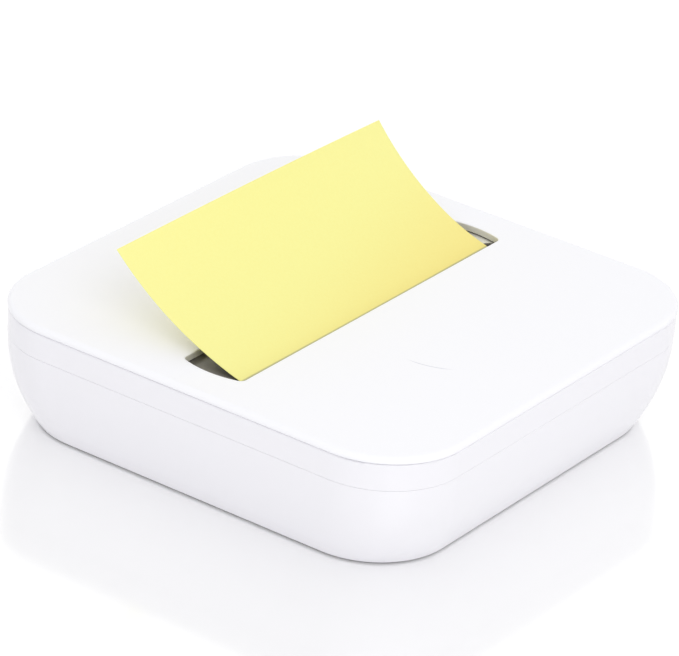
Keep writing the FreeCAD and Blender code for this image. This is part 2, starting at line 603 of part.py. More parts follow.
def make_bottom_cover():
    body = new_body("bottom_cover")
    side = f"{BAY_SIDE} - 2 * Sizes.closer_clearance"
    corner = f"{BAY_CORNER} - Sizes.closer_clearance"
    outline = rounded_square(body, "outline", CLOSER_UNDER, side, corner)
    pad(body, "panel", outline, CLOSER_THICKNESS)
    seat = new_sketch(body, "seat_outline", CLOSER_UNDER)
    seat_diameter = "Sizes.foot_diameter + 2 * Sizes.foot_clearance"
    add_circle(seat, "seat", FOOT_REACH, FOOT_REACH, seat_diameter)
    foot_seat = pocket(body, "foot_seat", seat, "Sizes.foot_recess_depth", up=True)
    repeat_round(body, "foot_seats", [foot_seat], CORNERS)

    # Countersunk holes, each turned about its own screw's axis
    shank = "(Sizes.screw_diameter + Sizes.screw_hole_clearance) / 2"
    sink = "(Sizes.screw_head_diameter + Sizes.sink_clearance) / 2"
    sink_top = f"{CLOSER_UNDER} + Sizes.screw_head_edge + ({sink} - {shank})"
    profile = new_sketch(body, "hole_profile", role="XZ_Plane")
    axis = SCREW_REACH
    add_polygon(profile, [
        (axis, CLOSER_UNDER), (f"{axis} + {sink}", CLOSER_UNDER),
        (f"{axis} + {sink}", f"{CLOSER_UNDER} + Sizes.screw_head_edge"), (f"{axis} + {shank}", sink_top),
        (f"{axis} + {shank}", CLOSER_TOP), (axis, CLOSER_TOP)])
    before = body.Shape.Volume
    hole = body.newObject("PartDesign::Groove", f"{body.Name}_screw_hole")
    hole.Profile = profile
    hole.ReferenceAxis = (profile, ["Edge6"])
    hole.Angle = 360
    grow(body, "cut", "screw hole", before)
    repeat_round(body, "screw_holes", [hole], CORNERS)
    return body


def place(body, reach_x, reach_y, level):
    body.Placement.Base = Vector(reach_x, reach_y, 0)
    body.setExpression("Placement.Base.z", level)
    return body


def make_screw(number, turn):
    # Countersunk, with its head in the bottom cover and its point in the boss.
    body = new_body(f"base_screw_{number}")
    head = "Sizes.screw_head_diameter / 2"
    shank = "Sizes.screw_diameter / 2"
    profile = new_sketch(body, "profile", role="XZ_Plane")
    add_polygon(profile, [
        ("0", "0"), (head, "0"), (head, "Sizes.screw_head_edge"),
        (shank, f"Sizes.screw_head_edge + {head} - {shank}"),
        (shank, f"{SCREW_LENGTH} - Sizes.screw_point"), ("0", SCREW_LENGTH)])
    turned = body.newObject("PartDesign::Revolution", f"{body.Name}_turned")
    turned.Profile = profile
    turned.ReferenceAxis = (profile, ["V_Axis"])
    turned.Angle = 360
    grow(body, "add", "turned blank", 0.0)
    arm = new_sketch(body, "recess_outline")
    add_rounded_rectangle(arm, "arm", "Sizes.recess_length", "Sizes.recess_width", "Sizes.recess_corner")
    cut = pocket(body, "recess", arm, "Sizes.recess_depth", up=True)
    repeat_round(body, "cross", [cut], CORNERS)
    angle = math.radians(turn)
    reach = value(SCREW_REACH)
    return place(body, reach * math.cos(angle), reach * math.sin(angle), CLOSER_UNDER)


def make_foot(number, side_x, side_y):
    body = new_body(f"rubber_foot_{number}")
    outline = new_sketch(body, "outline")
    add_circle(outline, "disc", "0", "0", "Sizes.foot_diameter")
    pad(body, "disc", outline, f"{CLOSER_UNDER} + Sizes.foot_recess_depth")
    chamfer(body, "lower_edge", "Sizes.foot_chamfer", lambda edge: lies_at(edge, 0.0))
    reach = value(FOOT_REACH)
    body.Placement.Base = Vector(side_x * reach, side_y * reach, 0)
    return body


def make_note_pad():
    block = doc.addObject("Part::Box", "note_pad")
    block.Label = "note_pad"
    block.setExpression("Length", "Sizes.pad_side")
    block.setExpression("Width", "Sizes.pad_side")
    block.setExpression("Height", "Sizes.pad_thickness")
    block.setExpression("Placement.Base.x", "-Sizes.pad_side / 2")
    block.setExpression("Placement.Base.y", "-Sizes.pad_side / 2")
    block.setExpression("Placement.Base.z", FLOOR_TOP)
    return block


def bend(start, slope_from, slope_to, length):
    # Middle and end of an arc along the note, from its slopes in degrees and its length.
    points = []
    for share in (0.5, 1.0):
        turned = math.radians(slope_to - slope_from) * share
        heading = math.radians(slope_from) + turned / 2
        chord = length * share * (math.sin(turned / 2) / (turned / 2) if turned else 1.0)
        points.append(start + Vector(0, math.cos(heading), math.sin(heading)) * chord)
    return points


def note_section(side, place_name):
    # Closed section of the note at its left edge (-1), middle (0) or right edge (1).
    slot_slope, bend_slope, free_slope = (
        value(f"Sizes.{name}_angle_{place_name}") for name in ("slot", "bend", "free"))
    across = side * value("Sizes.pad_side") / 2
    entry_y = -value("Sizes.slot_width / 2 + Sizes.sheet_entry_setback") - side * value("Sizes.sheet_skew")
    entry = Vector(across, entry_y, value(f"{DECK_UNDER} + Sizes.sheet_entry_rise"))

    # The tail is one arc: it meets the entry in its slope, comes closest to the pad at a clearance
    # and ends above the pad's edge
    closest = value(f"{PAD_TOP} + Sizes.sheet_clearance + Sizes.sheet_thickness / 2")
    radius = (entry.z - closest) / (1 - math.cos(math.radians(slot_slope)))
    run = entry.y + value("Sizes.pad_side") / 2
    tail_turn = math.asin(math.sin(math.radians(slot_slope)) - run / radius)
    tail_slope = math.degrees(tail_turn)
    tail = Vector(across, entry.y - run, closest + radius * (1 - math.cos(tail_turn)))
    tail_length = radius * math.radians(slot_slope - tail_slope)
    middle_tail, _ = bend(tail, tail_slope, slot_slope, tail_length)
    middle_lower, knee = bend(entry, slot_slope, bend_slope, value("Sizes.lower_bend_length"))
    middle_upper, free_edge = bend(knee, bend_slope, free_slope, value("Sizes.upper_bend_length"))
    line = [
        (tail, tail_slope), (middle_tail, (tail_slope + slot_slope) / 2), (entry, slot_slope),
        (middle_lower, (slot_slope + bend_slope) / 2), (knee, bend_slope),
        (middle_upper, (bend_slope + free_slope) / 2), (free_edge, free_slope)]

    def face(offset):
        points = []
        for point, slope in line:
            angle = math.radians(slope)
            points.append(point + Vector(0, -math.sin(angle), math.cos(angle)) * offset)
        return points

    upper = face(value("Sizes.sheet_thickness") / 2)
    lower = face(-value("Sizes.sheet_thickness") / 2)[::-1]
    edges = []
    for side_points in (upper, lower):
        for start in (0, 2, 4):
            edges.append(Part.Arc(*side_points[start:start + 3]).toShape())
        other = lower[0] if side_points is upper else upper[0]
        edges.append(Part.LineSegment(side_points[-1], other).toShape())
    return Part.Wire(edges)


def make_standing_note():
    sections = [note_section(side, name) for side, name in ((-1, "left"), (0, "middle"), (1, "right"))]
    note = doc.addObject("Part::Feature", "standing_note")
    note.Label = "standing_note"
    note.Shape = Part.makeLoft(sections, True, False)
    return note


pieces = [
    make_top_plate(),
    make_plate_adhesive(),
    make_cover_frame(),
    make_base_tray(),
    make_ballast_plate(),
    make_bottom_cover(),
    make_note_pad(),
    make_standing_note(),
]
pieces += [make_screw(turn + 1, 360 / CORNERS * turn) for turn in range(CORNERS)]
pieces += [
    make_foot(number, side_x, side_y)
    for number, (side_x, side_y) in enumerate([(-1, -1), (1, -1), (1, 1), (-1, 1)], start=1)
]
doc.recompute()

for item in doc.Objects:
    if "Invalid" in item.State or "Error" in item.State:
        raise RuntimeError(f"{item.Label} failed: {item.State}")
for item in doc.Objects:
    if item.TypeId == "Sketcher::SketchObject" and not item.FullyConstrained:
        raise RuntimeError(f"{item.Label} isn't fully constrained")
for piece in pieces:
    if piece.Shape.isNull() or not piece.Shape.isValid() or len(piece.Shape.Solids) != 1:
        raise RuntimeError(f"{piece.Label} isn't one valid solid")

os.makedirs("parts", exist_ok=True)
for piece in pieces:
    piece.Shape.exportStep(f"parts/{piece.Label}.step")
    print(f"{piece.Label}: {piece.Shape.Volume:.1f} mm3, {len(piece.Shape.Faces)} faces")
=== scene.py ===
import math
import random

import bmesh
import bpy
from mathutils import Matrix, Vector


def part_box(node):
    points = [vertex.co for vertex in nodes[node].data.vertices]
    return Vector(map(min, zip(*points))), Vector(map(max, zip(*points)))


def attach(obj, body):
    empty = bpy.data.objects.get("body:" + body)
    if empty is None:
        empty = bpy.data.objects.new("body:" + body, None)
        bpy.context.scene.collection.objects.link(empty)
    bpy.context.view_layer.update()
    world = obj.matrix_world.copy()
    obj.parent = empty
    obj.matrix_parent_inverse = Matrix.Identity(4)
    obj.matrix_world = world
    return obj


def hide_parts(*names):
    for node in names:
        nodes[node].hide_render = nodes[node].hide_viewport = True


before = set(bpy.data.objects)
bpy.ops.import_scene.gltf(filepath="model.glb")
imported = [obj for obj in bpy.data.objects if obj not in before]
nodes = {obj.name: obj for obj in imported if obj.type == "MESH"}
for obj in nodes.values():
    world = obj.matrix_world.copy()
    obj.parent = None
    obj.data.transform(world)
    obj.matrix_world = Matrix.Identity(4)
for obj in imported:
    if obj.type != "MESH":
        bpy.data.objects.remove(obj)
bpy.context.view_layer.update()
mm = 0.001
print("frame loaded:", len(nodes), "nodes")


def linearFrom(hexColour):
    # sRGB hex to the linear values that the shaders take
    channels = [int(hexColour[i:i + 2], 16) / 255 for i in (0, 2, 4)]
    return tuple(c / 12.92 if c <= 0.04045 else ((c + 0.055) / 1.055) ** 2.4 for c in channels) + (1.0,)


def addNode(tree, kind, settings=None, links=None):
    # settings are input values or properties, links are what feeds the inputs
    node = tree.nodes.new(kind)
    for name, value in (settings or {}).items():
        if isinstance(name, int) or name in node.inputs:
            node.inputs[name].default_value = value
        else:
            setattr(node, name, value)
    for name, socket in (links or {}).items():
        tree.links.new(socket, node.inputs[name])
    return node


def startMaterial(name):
    material = bpy.data.materials.new(name)
    material.use_nodes = True
    tree = material.node_tree
    tree.nodes.clear()
    place = addNode(tree, "ShaderNodeTexCoord").outputs["Object"]
    return material, tree, place


def endMaterial(tree, shader):
    addNode(tree, "ShaderNodeOutputMaterial", links={"Surface": shader.outputs[0]})


def finishPiece(name, points, faces, material, sharpAngle, replaced):
    mesh = bpy.data.meshes.new(name)
    mesh.from_pydata(points, [], faces)
    shell = bmesh.new()
    shell.from_mesh(mesh)
    bmesh.ops.recalc_face_normals(shell, faces=shell.faces)
    shell.to_mesh(mesh)
    shell.free()
    for polygon in mesh.polygons:
        polygon.use_smooth = True
    mesh.set_sharp_from_angle(angle=math.radians(sharpAngle))
    piece = bpy.data.objects.new(name, mesh)
    bpy.context.scene.collection.objects.link(piece)
    piece.data.materials.append(material)
    weighted = piece.modifiers.new("weightedNormals", "WEIGHTED_NORMAL")
    weighted.keep_sharp = True
    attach(piece, "root")
    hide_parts(replaced)
    print(name, "made:", len(faces), "faces")
    return piece


def ringFaces(rings, closed):
    # Quads between rings of as many points each, the last joined to the first if closed
    count = len(rings[0])
    faces = []
    for row in range(len(rings) if closed else len(rings) - 1):
        here, there = row * count, (row + 1) % len(rings) * count
        for i in range(count):
            j = (i + 1) % count
            faces.append((here + i, here + j, there + j, there + i))
    return faces


def arcPoints(centreX, centreY, radius, startAngle, endAngle, steps, level):
    # Points on an arc in plan, both ends among them, angles in radians
    points = []
    for step in range(steps + 1):
        angle = startAngle + (endAngle - startAngle) * step / steps
        points.append(Vector((centreX + radius * math.cos(angle), centreY + radius * math.sin(angle), level)))
    return points


def joinArcs(arcs, sideSteps):
    # Arcs one after the other, with evenly spaced points on the straight lines between them
    ring = []
    for turn, arc in enumerate(arcs):
        ring += arc
        last, ahead = arc[-1], arcs[(turn + 1) % len(arcs)][0]
        steps = sideSteps[turn % 2]
        ring += [last.lerp(ahead, step / steps) for step in range(1, steps)]
    return ring


def roundedRing(high, corner, inset, level, cornerSteps, sideSteps):
    # Rounded rectangle about the origin that reaches out to high, its box's corner, less the inset
    arcs = []
    for turn, (sideX, sideY) in enumerate([(1, 1), (-1, 1), (-1, -1), (1, -1)]):
        start = math.pi / 2 * turn
        arcs.append(arcPoints(
            sideX * (high[0] - corner), sideY * (high[1] - corner), corner - inset, start,
            start + math.pi / 2, cornerSteps, level))
    return joinArcs(arcs, sideSteps)


# White powder coat on steel: sprayed as powder and baked, so it has a satin gloss and a fine
# orange peel that softens what it mirrors
powderCoat = {
    "colour": "F8F8FC",
    "roughness": 0.36,
    "ior": 1.5,
    "peelSize": 1.1,  # mm between the bumps of the peel
    "peelHeight": 0.003,  # mm
    "cutEdgeShadeColour": "DEDCD0",  # painted shade: the slot's punched wall is darker and warmer than the coat
    "scratchColour": "DEDEE6",  # one faint curved hairline near the front edge
    "scratchCentre": (1.0, -23.5),  # mm, of the arc that it follows
    "scratchRadius": 13.64,
    "scratchMiddle": (-12.1, -27.3),
    "scratchReach": 4.6,  # mm from its middle to its ends
    "scratchWidth": 0.13,  # mm to each side
}


def makePowderCoat():
    material, tree, place = startMaterial("powderCoatedSteel")
    peel = addNode(
        tree, "ShaderNodeTexNoise",
        {"Scale": 1 / (powderCoat["peelSize"] * mm), "Detail": 2.0, "Roughness": 0.4},
        {"Vector": place})
    bump = addNode(
        tree, "ShaderNodeBump", {"Strength": 1.0, "Distance": powderCoat["peelHeight"] * mm},
        {"Height": peel.outputs["Fac"]})
    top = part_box("top_plate")[1][2]
    centre, middle = (
        (x * mm, y * mm, top) for x, y in (powderCoat["scratchCentre"], powderCoat["scratchMiddle"]))
    fromCentre = addNode(tree, "ShaderNodeVectorMath", {"operation": "DISTANCE", 1: centre}, {0: place})
    offArc = addNode(
        tree, "ShaderNodeMath", {"operation": "COMPARE", 1: powderCoat["scratchRadius"] * mm,
                                 2: powderCoat["scratchWidth"] * mm},
        {0: fromCentre.outputs["Value"]})
    fromMiddle = addNode(tree, "ShaderNodeVectorMath", {"operation": "DISTANCE", 1: middle}, {0: place})
    reach = powderCoat["scratchReach"] * mm
    fading = addNode(
        tree, "ShaderNodeMapRange", {"From Min": reach, "From Max": reach / 2},
        {"Value": fromMiddle.outputs["Value"]})
    scratch = addNode(
        tree, "ShaderNodeMath", {"operation": "MULTIPLY"}, {0: offArc.outputs[0], 1: fading.outputs["Result"]})
    coat = addNode(
        tree, "ShaderNodeMix",
        {"data_type": "RGBA", 6: linearFrom(powderCoat["colour"]), 7: linearFrom(powderCoat["scratchColour"])},
        {0: scratch.outputs[0]})
    # painted shade on the slot's punched wall, where the cutEdge mask is 1
    cutEdge = addNode(tree, "ShaderNodeAttribute", {"attribute_name": "cutEdge"})
    colour = addNode(
        tree, "ShaderNodeMix", {"data_type": "RGBA", 7: linearFrom(powderCoat["cutEdgeShadeColour"])},
        {0: cutEdge.outputs["Fac"], 6: coat.outputs[2]})
    shader = addNode(
        tree, "ShaderNodeBsdfPrincipled", {"Roughness": powderCoat["roughness"], "IOR": powderCoat["ior"]},
        {"Base Color": colour.outputs[2], "Normal": bump.outputs["Normal"]})
    endMaterial(tree, shader)
    return material


# White ABS, injection moulded in a polished mould: an even glossy skin with a slow waviness
whiteMoulding = {
    "colour": "F2F1F6",
    "roughness": 0.24,
    "ior": 1.52,
    "waveSize": 9.0,  # mm, slow sink and flow of the moulding
    "waveHeight": 0.006,  # mm
    "insideShadeColour": "F0EEE2",  # painted shade and yellow bounce from the note on the inside, seen through the slot
    "leftEndShadeColour": "8E8B86",  # painted shade on its level faces at the left end of the slot
    "levelFrom": 0.5,  # upward part of a face's normal from which the painted shade lies on it
    "levelTo": 0.9,
    "recessShadeColour": "625F5C",  # painted shade deep under the slot
    "insideSquare": 32.0,  # mm from the middle to where the corners start
    "insideRound": 14.5,  # mm from there to the inner side of the skirt
    "recessDepth": 9.0,  # mm
    "recessFrom": 0.42,  # share of open sky at which the shade is full
    "recessTo": 0.8,
}


def makeWhiteMoulding(name, shaded):
    material, tree, place = startMaterial(name)
    wave = addNode(
        tree, "ShaderNodeTexNoise",
        {"Scale": 1 / (whiteMoulding["waveSize"] * mm), "Detail": 1.0, "Roughness": 0.3},
        {"Vector": place})
    bump = addNode(
        tree, "ShaderNodeBump", {"Strength": 1.0, "Distance": whiteMoulding["waveHeight"] * mm},
        {"Height": wave.outputs["Fac"]})
    shader = addNode(
        tree, "ShaderNodeBsdfPrincipled",
        {"Base Color": linearFrom(whiteMoulding["colour"]), "Roughness": whiteMoulding["roughness"],
         "IOR": whiteMoulding["ior"]},
        {"Normal": bump.outputs["Normal"]})
    # painted shade on the frame: a darker inside, darker still where little sky is open, and on level faces at
    # the slot's left end
    if shaded:
        sky = addNode(
            tree, "ShaderNodeAmbientOcclusion", {"samples": 12, "Distance": whiteMoulding["recessDepth"] * mm})
        openness = addNode(
            tree, "ShaderNodeMapRange",
            {"From Min": whiteMoulding["recessFrom"], "From Max": whiteMoulding["recessTo"]},
            {"Value": sky.outputs["AO"]})
        skyward = addNode(
            tree, "ShaderNodeVectorMath", {"operation": "DOT_PRODUCT", 1: (0, 0, 1)},
            {0: addNode(tree, "ShaderNodeNewGeometry").outputs["Normal"]})
        # painted shade: level faces darken only on the left half, at the slot's left end under the note
        leftward = addNode(
            tree, "ShaderNodeVectorMath", {"operation": "DOT_PRODUCT", 1: (-1, 0, 0)}, {0: place})
        leftEndShaded = addNode(
            tree, "ShaderNodeMath", {"operation": "GREATER_THAN", 1: 0.0}, {0: leftward.outputs["Value"]})
        level = addNode(
            tree, "ShaderNodeMapRange",
            {"From Min": whiteMoulding["levelFrom"], "From Max": whiteMoulding["levelTo"]},
            {"Value": skyward.outputs["Value"], "To Max": leftEndShaded.outputs[0]})
        skin = addNode(
            tree, "ShaderNodeMix",
            {"data_type": "RGBA", 6: linearFrom(whiteMoulding["insideShadeColour"]),
             7: linearFrom(whiteMoulding["leftEndShadeColour"])},
            {0: level.outputs["Result"]})
        inside = addNode(
            tree, "ShaderNodeMix",
            {"data_type": "RGBA", 6: linearFrom(whiteMoulding["recessShadeColour"])},
            {0: openness.outputs["Result"], 7: skin.outputs[2]})
        # a rounded square in plan parts the inside from the skirt, and a metre along Z leaves heights out
        square = whiteMoulding["insideSquare"] * mm
        apart = addNode(tree, "ShaderNodeVectorMath", {"operation": "ABSOLUTE"}, {0: place})
        past = addNode(
            tree, "ShaderNodeVectorMath", {"operation": "SUBTRACT", 1: (square, square, 1.0)},
            {0: apart.outputs[0]})
        corner = addNode(
            tree, "ShaderNodeVectorMath", {"operation": "MAXIMUM", 1: (0, 0, 0)}, {0: past.outputs[0]})
        reach = addNode(tree, "ShaderNodeVectorMath", {"operation": "LENGTH"}, {0: corner.outputs[0]})
        outside = addNode(
            tree, "ShaderNodeMath", {"operation": "GREATER_THAN", 1: whiteMoulding["insideRound"] * mm},
            {0: reach.outputs["Value"]})
        colour = addNode(
            tree, "ShaderNodeMix", {"data_type": "RGBA", 7: linearFrom(whiteMoulding["colour"])},
            {0: outside.outputs[0], 6: inside.outputs[2]})
        tree.links.new(colour.outputs[2], shader.inputs["Base Color"])
    endMaterial(tree, shader)
    return material


# White ABS from a spark-eroded mould: the same plastic with a fine even grain that kills its gloss.
# The grain is really about 0.1 mm, drawn coarser so that it shows
grainedMoulding = {
    "colour": "E8E8EB",
    "roughness": 0.55,
    "ior": 1.52,
    "grainSize": 0.35,  # mm
    "grainHeight": 0.02,  # mm
}


def makeGrainedMoulding():
    material, tree, place = startMaterial("mouldedAbsTextured")
    grain = addNode(
        tree, "ShaderNodeTexNoise",
        {"Scale": 1 / (grainedMoulding["grainSize"] * mm), "Detail": 3.0, "Roughness": 0.6},
        {"Vector": place})
    bump = addNode(
        tree, "ShaderNodeBump", {"Strength": 1.0, "Distance": grainedMoulding["grainHeight"] * mm},
        {"Height": grain.outputs["Fac"]})
    shader = addNode(
        tree, "ShaderNodeBsdfPrincipled",
        {"Base Color": linearFrom(grainedMoulding["colour"]), "Roughness": grainedMoulding["roughness"],
         "IOR": grainedMoulding["ior"]},
        {"Normal": bump.outputs["Normal"]})
    endMaterial(tree, shader)
    return material


# Uncoated note paper, dyed through: matt, with short fibres that mottle the colour a little, and
# thin enough to let some light through
notePaper = {
    "colour": "FFFCA7",
    "fibreColour": "FDFAF0",  # multiplied over the clouds of fibres
    "roughness": 0.85,
    "ior": 1.45,
    "fibreSize": 0.5,  # mm, length of a cloud of fibres
    "fibreHeight": 0.012,  # mm
    "letThrough": 0.06,  # share of the light that passes one sheet
    "lowerRightShadeColour": "FFF096",  # painted shade, darker and warmer towards the right end of the slot
    "lowerRightShadeFrom": (38.0, 20.0),  # mm along X and Y, where the painted shade starts
    "lowerRightShadeTo": (44.0, -7.0),  # where it is full
    "backColour": "FFFBC2",  # back of the standing sheet, paler than its face: painted light, so that what it throws onto the plate beneath is less yellow
    "footShadeColour": "BEBB92",  # painted shade where the sheet comes out under the slot's front edge, mostly under the plate
    "footShadeAt": -8.0,  # mm along Y, the middle of the painted shade
    "footShadeHalf": 2.9,  # mm to each side of it
    "footShadeFade": 0.34,  # mm
}


def makeNotePaper(name, letThrough, standing):
    material, tree, place = startMaterial(name)
    fibres = addNode(
        tree, "ShaderNodeTexNoise",
        {"Scale": 1 / (notePaper["fibreSize"] * mm), "Detail": 4.0, "Roughness": 0.6},
        {"Vector": place})
    # painted shade: the colour darkens and warms towards the slot's right end
    start, end = (Vector(notePaper[k]) * mm for k in ("lowerRightShadeFrom", "lowerRightShadeTo"))
    way = (end - start) / (end - start).length_squared
    along = addNode(
        tree, "ShaderNodeVectorMath", {"operation": "DOT_PRODUCT", 1: (way.x, way.y, 0)}, {0: place})
    lowerRightShade = addNode(
        tree, "ShaderNodeMapRange",
        {"interpolation_type": "SMOOTHSTEP", "From Min": start.dot(way), "From Max": end.dot(way)},
        {"Value": along.outputs["Value"]})
    ground = addNode(
        tree, "ShaderNodeMix",
        {"data_type": "RGBA", 6: linearFrom(notePaper["colour"]), 7: linearFrom(notePaper["lowerRightShadeColour"])},
        {0: lowerRightShade.outputs["Result"]})
    colour = addNode(
        tree, "ShaderNodeMix",
        {"data_type": "RGBA", "blend_type": "MULTIPLY", 7: linearFrom(notePaper["fibreColour"])},
        {0: fibres.outputs["Fac"], 6: ground.outputs[2]})
    if standing:
        # painted light: the back of the sheet is paler, which lightens its bounce onto the plate
        skyward = addNode(
            tree, "ShaderNodeVectorMath", {"operation": "DOT_PRODUCT", 1: (0, 0, 1)},
            {0: addNode(tree, "ShaderNodeNewGeometry").outputs["Normal"]})
        back = addNode(
            tree, "ShaderNodeMath", {"operation": "LESS_THAN", 1: 0.0}, {0: skyward.outputs["Value"]})
        colour = addNode(
            tree, "ShaderNodeMix", {"data_type": "RGBA", 7: linearFrom(notePaper["backColour"])},
            {0: back.outputs[0], 6: colour.outputs[2]})
        # painted shade on the sheet where it comes out from under the slot's front edge
        forward = addNode(tree, "ShaderNodeVectorMath", {"operation": "DOT_PRODUCT", 1: (0, 1, 0)}, {0: place})
        fromFootShade = addNode(
            tree, "ShaderNodeMath", {"operation": "SUBTRACT", 1: notePaper["footShadeAt"] * mm},
            {0: forward.outputs["Value"]})
        distance = addNode(tree, "ShaderNodeMath", {"operation": "ABSOLUTE"}, {0: fromFootShade.outputs[0]})
        half, fade = notePaper["footShadeHalf"] * mm, notePaper["footShadeFade"] * mm
        outsideFootShade = addNode(
            tree, "ShaderNodeMapRange", {"From Min": half, "From Max": half + fade},
            {"Value": distance.outputs[0]})
        colour = addNode(
            tree, "ShaderNodeMix", {"data_type": "RGBA", 6: linearFrom(notePaper["footShadeColour"])},
            {0: outsideFootShade.outputs["Result"], 7: colour.outputs[2]})
    bump = addNode(
        tree, "ShaderNodeBump", {"Strength": 1.0, "Distance": notePaper["fibreHeight"] * mm},
        {"Height": fibres.outputs["Fac"]})
    shader = addNode(
        tree, "ShaderNodeBsdfPrincipled",
        {"Roughness": notePaper["roughness"], "IOR": notePaper["ior"]},
        {"Base Color": colour.outputs[2], "Normal": bump.outputs["Normal"]})
    passed = addNode(tree, "ShaderNodeBsdfTranslucent", links={"Color": colour.outputs[2]})
    shader = addNode(
        tree, "ShaderNodeMixShader", {0: letThrough}, {1: shader.outputs[0], 2: passed.outputs[0]})
    endMaterial(tree, shader)
    return material


# Double-sided bonding sheet: off-white acrylic foam, soft and dull at its cut edge
bondingSheet = {
    "colour": "D8D8D2",
    "roughness": 0.6,
    "ior": 1.47,
    "cellSize": 0.3,  # mm
    "cellHeight": 0.02,  # mm
}


def makeBondingSheet():
    material, tree, place = startMaterial("acrylicFoamSheet")
    cells = addNode(
        tree, "ShaderNodeTexVoronoi", {"Scale": 1 / (bondingSheet["cellSize"] * mm)}, {"Vector": place})
    bump = addNode(
        tree, "ShaderNodeBump", {"Strength": 1.0, "Distance": bondingSheet["cellHeight"] * mm},
        {"Height": cells.outputs["Distance"]})
    shader = addNode(
        tree, "ShaderNodeBsdfPrincipled",
        {"Base Color": linearFrom(bondingSheet["colour"]), "Roughness": bondingSheet["roughness"],
         "IOR": bondingSheet["ior"]},
        {"Normal": bump.outputs["Normal"]})
    endMaterial(tree, shader)
    return material


# Mild steel plate, hot rolled and oiled: grey metal with long soft streaks along the rolling
rolledSteel = {
    "colour": "A9A9A6",
    "streakColour": "8E8D8A",
    "roughness": 0.42,
    "streakWidth": 1.6,  # mm
    "streakStretch": 14.0,  # times as long as wide
}


def makeRolledSteel():
    material, tree, place = startMaterial("rolledMildSteel")
    stretched = addNode(
        tree, "ShaderNodeMapping", {"Scale": (1 / rolledSteel["streakStretch"], 1, 1)}, {"Vector": place})
    streaks = addNode(
        tree, "ShaderNodeTexNoise",
        {"Scale": 1 / (rolledSteel["streakWidth"] * mm), "Detail": 4.0, "Roughness": 0.6},
        {"Vector": stretched.outputs["Vector"]})
    colour = addNode(
        tree, "ShaderNodeMix",
        {"data_type": "RGBA", 6: linearFrom(rolledSteel["colour"]), 7: linearFrom(rolledSteel["streakColour"])},
        {0: streaks.outputs["Fac"]})
    shader = addNode(
        tree, "ShaderNodeBsdfPrincipled", {"Metallic": 1.0, "Roughness": rolledSteel["roughness"]},
        {"Base Color": colour.outputs[2]})
    endMaterial(tree, shader)
    return material


# Steel screws, turned and bright zinc plated: a pale bluish metal with a fine uneven lustre
zincPlate = {
    "colour": "C9CCD2",
    "dullColour": "B0B3B8",
    "roughness": 0.3,
    "cloudSize": 0.8,  # mm
}


def makeZincPlate():
    material, tree, place = startMaterial("zincPlatedSteel")
    clouds = addNode(
        tree, "ShaderNodeTexNoise",
        {"Scale": 1 / (zincPlate["cloudSize"] * mm), "Detail": 3.0}, {"Vector": place})
    colour = addNode(
        tree, "ShaderNodeMix",
        {"data_type": "RGBA", 6: linearFrom(zincPlate["colour"]), 7: linearFrom(zincPlate["dullColour"])},
        {0: clouds.outputs["Fac"]})
    shader = addNode(
        tree, "ShaderNodeBsdfPrincipled", {"Metallic": 1.0, "Roughness": zincPlate["roughness"]},
        {"Base Color": colour.outputs[2]})
    endMaterial(tree, shader)
    return material


# Moulded rubber feet: dark, matt and slightly bloomed, with a fine grain
footRubber = {
    "colour": "2B2B2D",
    "bloomColour": "3A3A3C",
    "roughness": 0.75,
    "ior": 1.52,
    "grainSize": 0.5,  # mm
    "grainHeight": 0.02,  # mm
}


def makeFootRubber():
    material, tree, place = startMaterial("mouldedRubber")
    grain = addNode(
        tree, "ShaderNodeTexNoise",
        {"Scale": 1 / (footRubber["grainSize"] * mm), "Detail": 3.0}, {"Vector": place})
    colour = addNode(
        tree, "ShaderNodeMix",
        {"data_type": "RGBA", 6: linearFrom(footRubber["colour"]), 7: linearFrom(footRubber["bloomColour"])},
        {0: grain.outputs["Fac"]})
    bump = addNode(
        tree, "ShaderNodeBump", {"Strength": 1.0, "Distance": footRubber["grainHeight"] * mm},
        {"Height": grain.outputs["Fac"]})
    shader = addNode(
        tree, "ShaderNodeBsdfPrincipled", {"Roughness": footRubber["roughness"], "IOR": footRubber["ior"]},
        {"Base Color": colour.outputs[2], "Normal": bump.outputs["Normal"]})
    endMaterial(tree, shader)
    return material


plateCoat = makePowderCoat()
trayPlastic = makeWhiteMoulding("mouldedAbsPolished", False)
framePlastic = makeWhiteMoulding("mouldedAbsPolishedFrame", True)
coverPlastic = makeGrainedMoulding()
sheetPaper = makeNotePaper("uncoatedNotePaper", notePaper["letThrough"], True)
padPaper = makeNotePaper("uncoatedNotePaperStack", 0.0, False)
zinc = makeZincPlate()
rubber = makeFootRubber()
print("materials made")

# The top plate: one closed skin round the slot and the outline, with both edges rounded
plateForm = {
    "corner": 16.4,  # mm, outline in plan
    "upperRound": 1.0,
    "lowerRound": 0.2,
    "slotLength": 79.6,  # mm, between the corners
    "slotWidth": 13.2,
    "slotBow": 1.2,
    "slotCorner": 1.2,
    "slotRound": 0.3,
    "flatShares": (0.02, 0.35, 0.7, 0.98),  # places of the rings on the flat, slot to outline
    "cornerSteps": 24,
    "longSteps": 24,
    "shortSteps": 24,
    "roundSteps": 6,
}


def plateRing(inset, level):
    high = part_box("top_plate")[1]
    sideSteps = (plateForm["longSteps"], plateForm["shortSteps"])
    return roundedRing(high, plateForm["corner"] * mm, inset, level, plateForm["cornerSteps"], sideSteps)


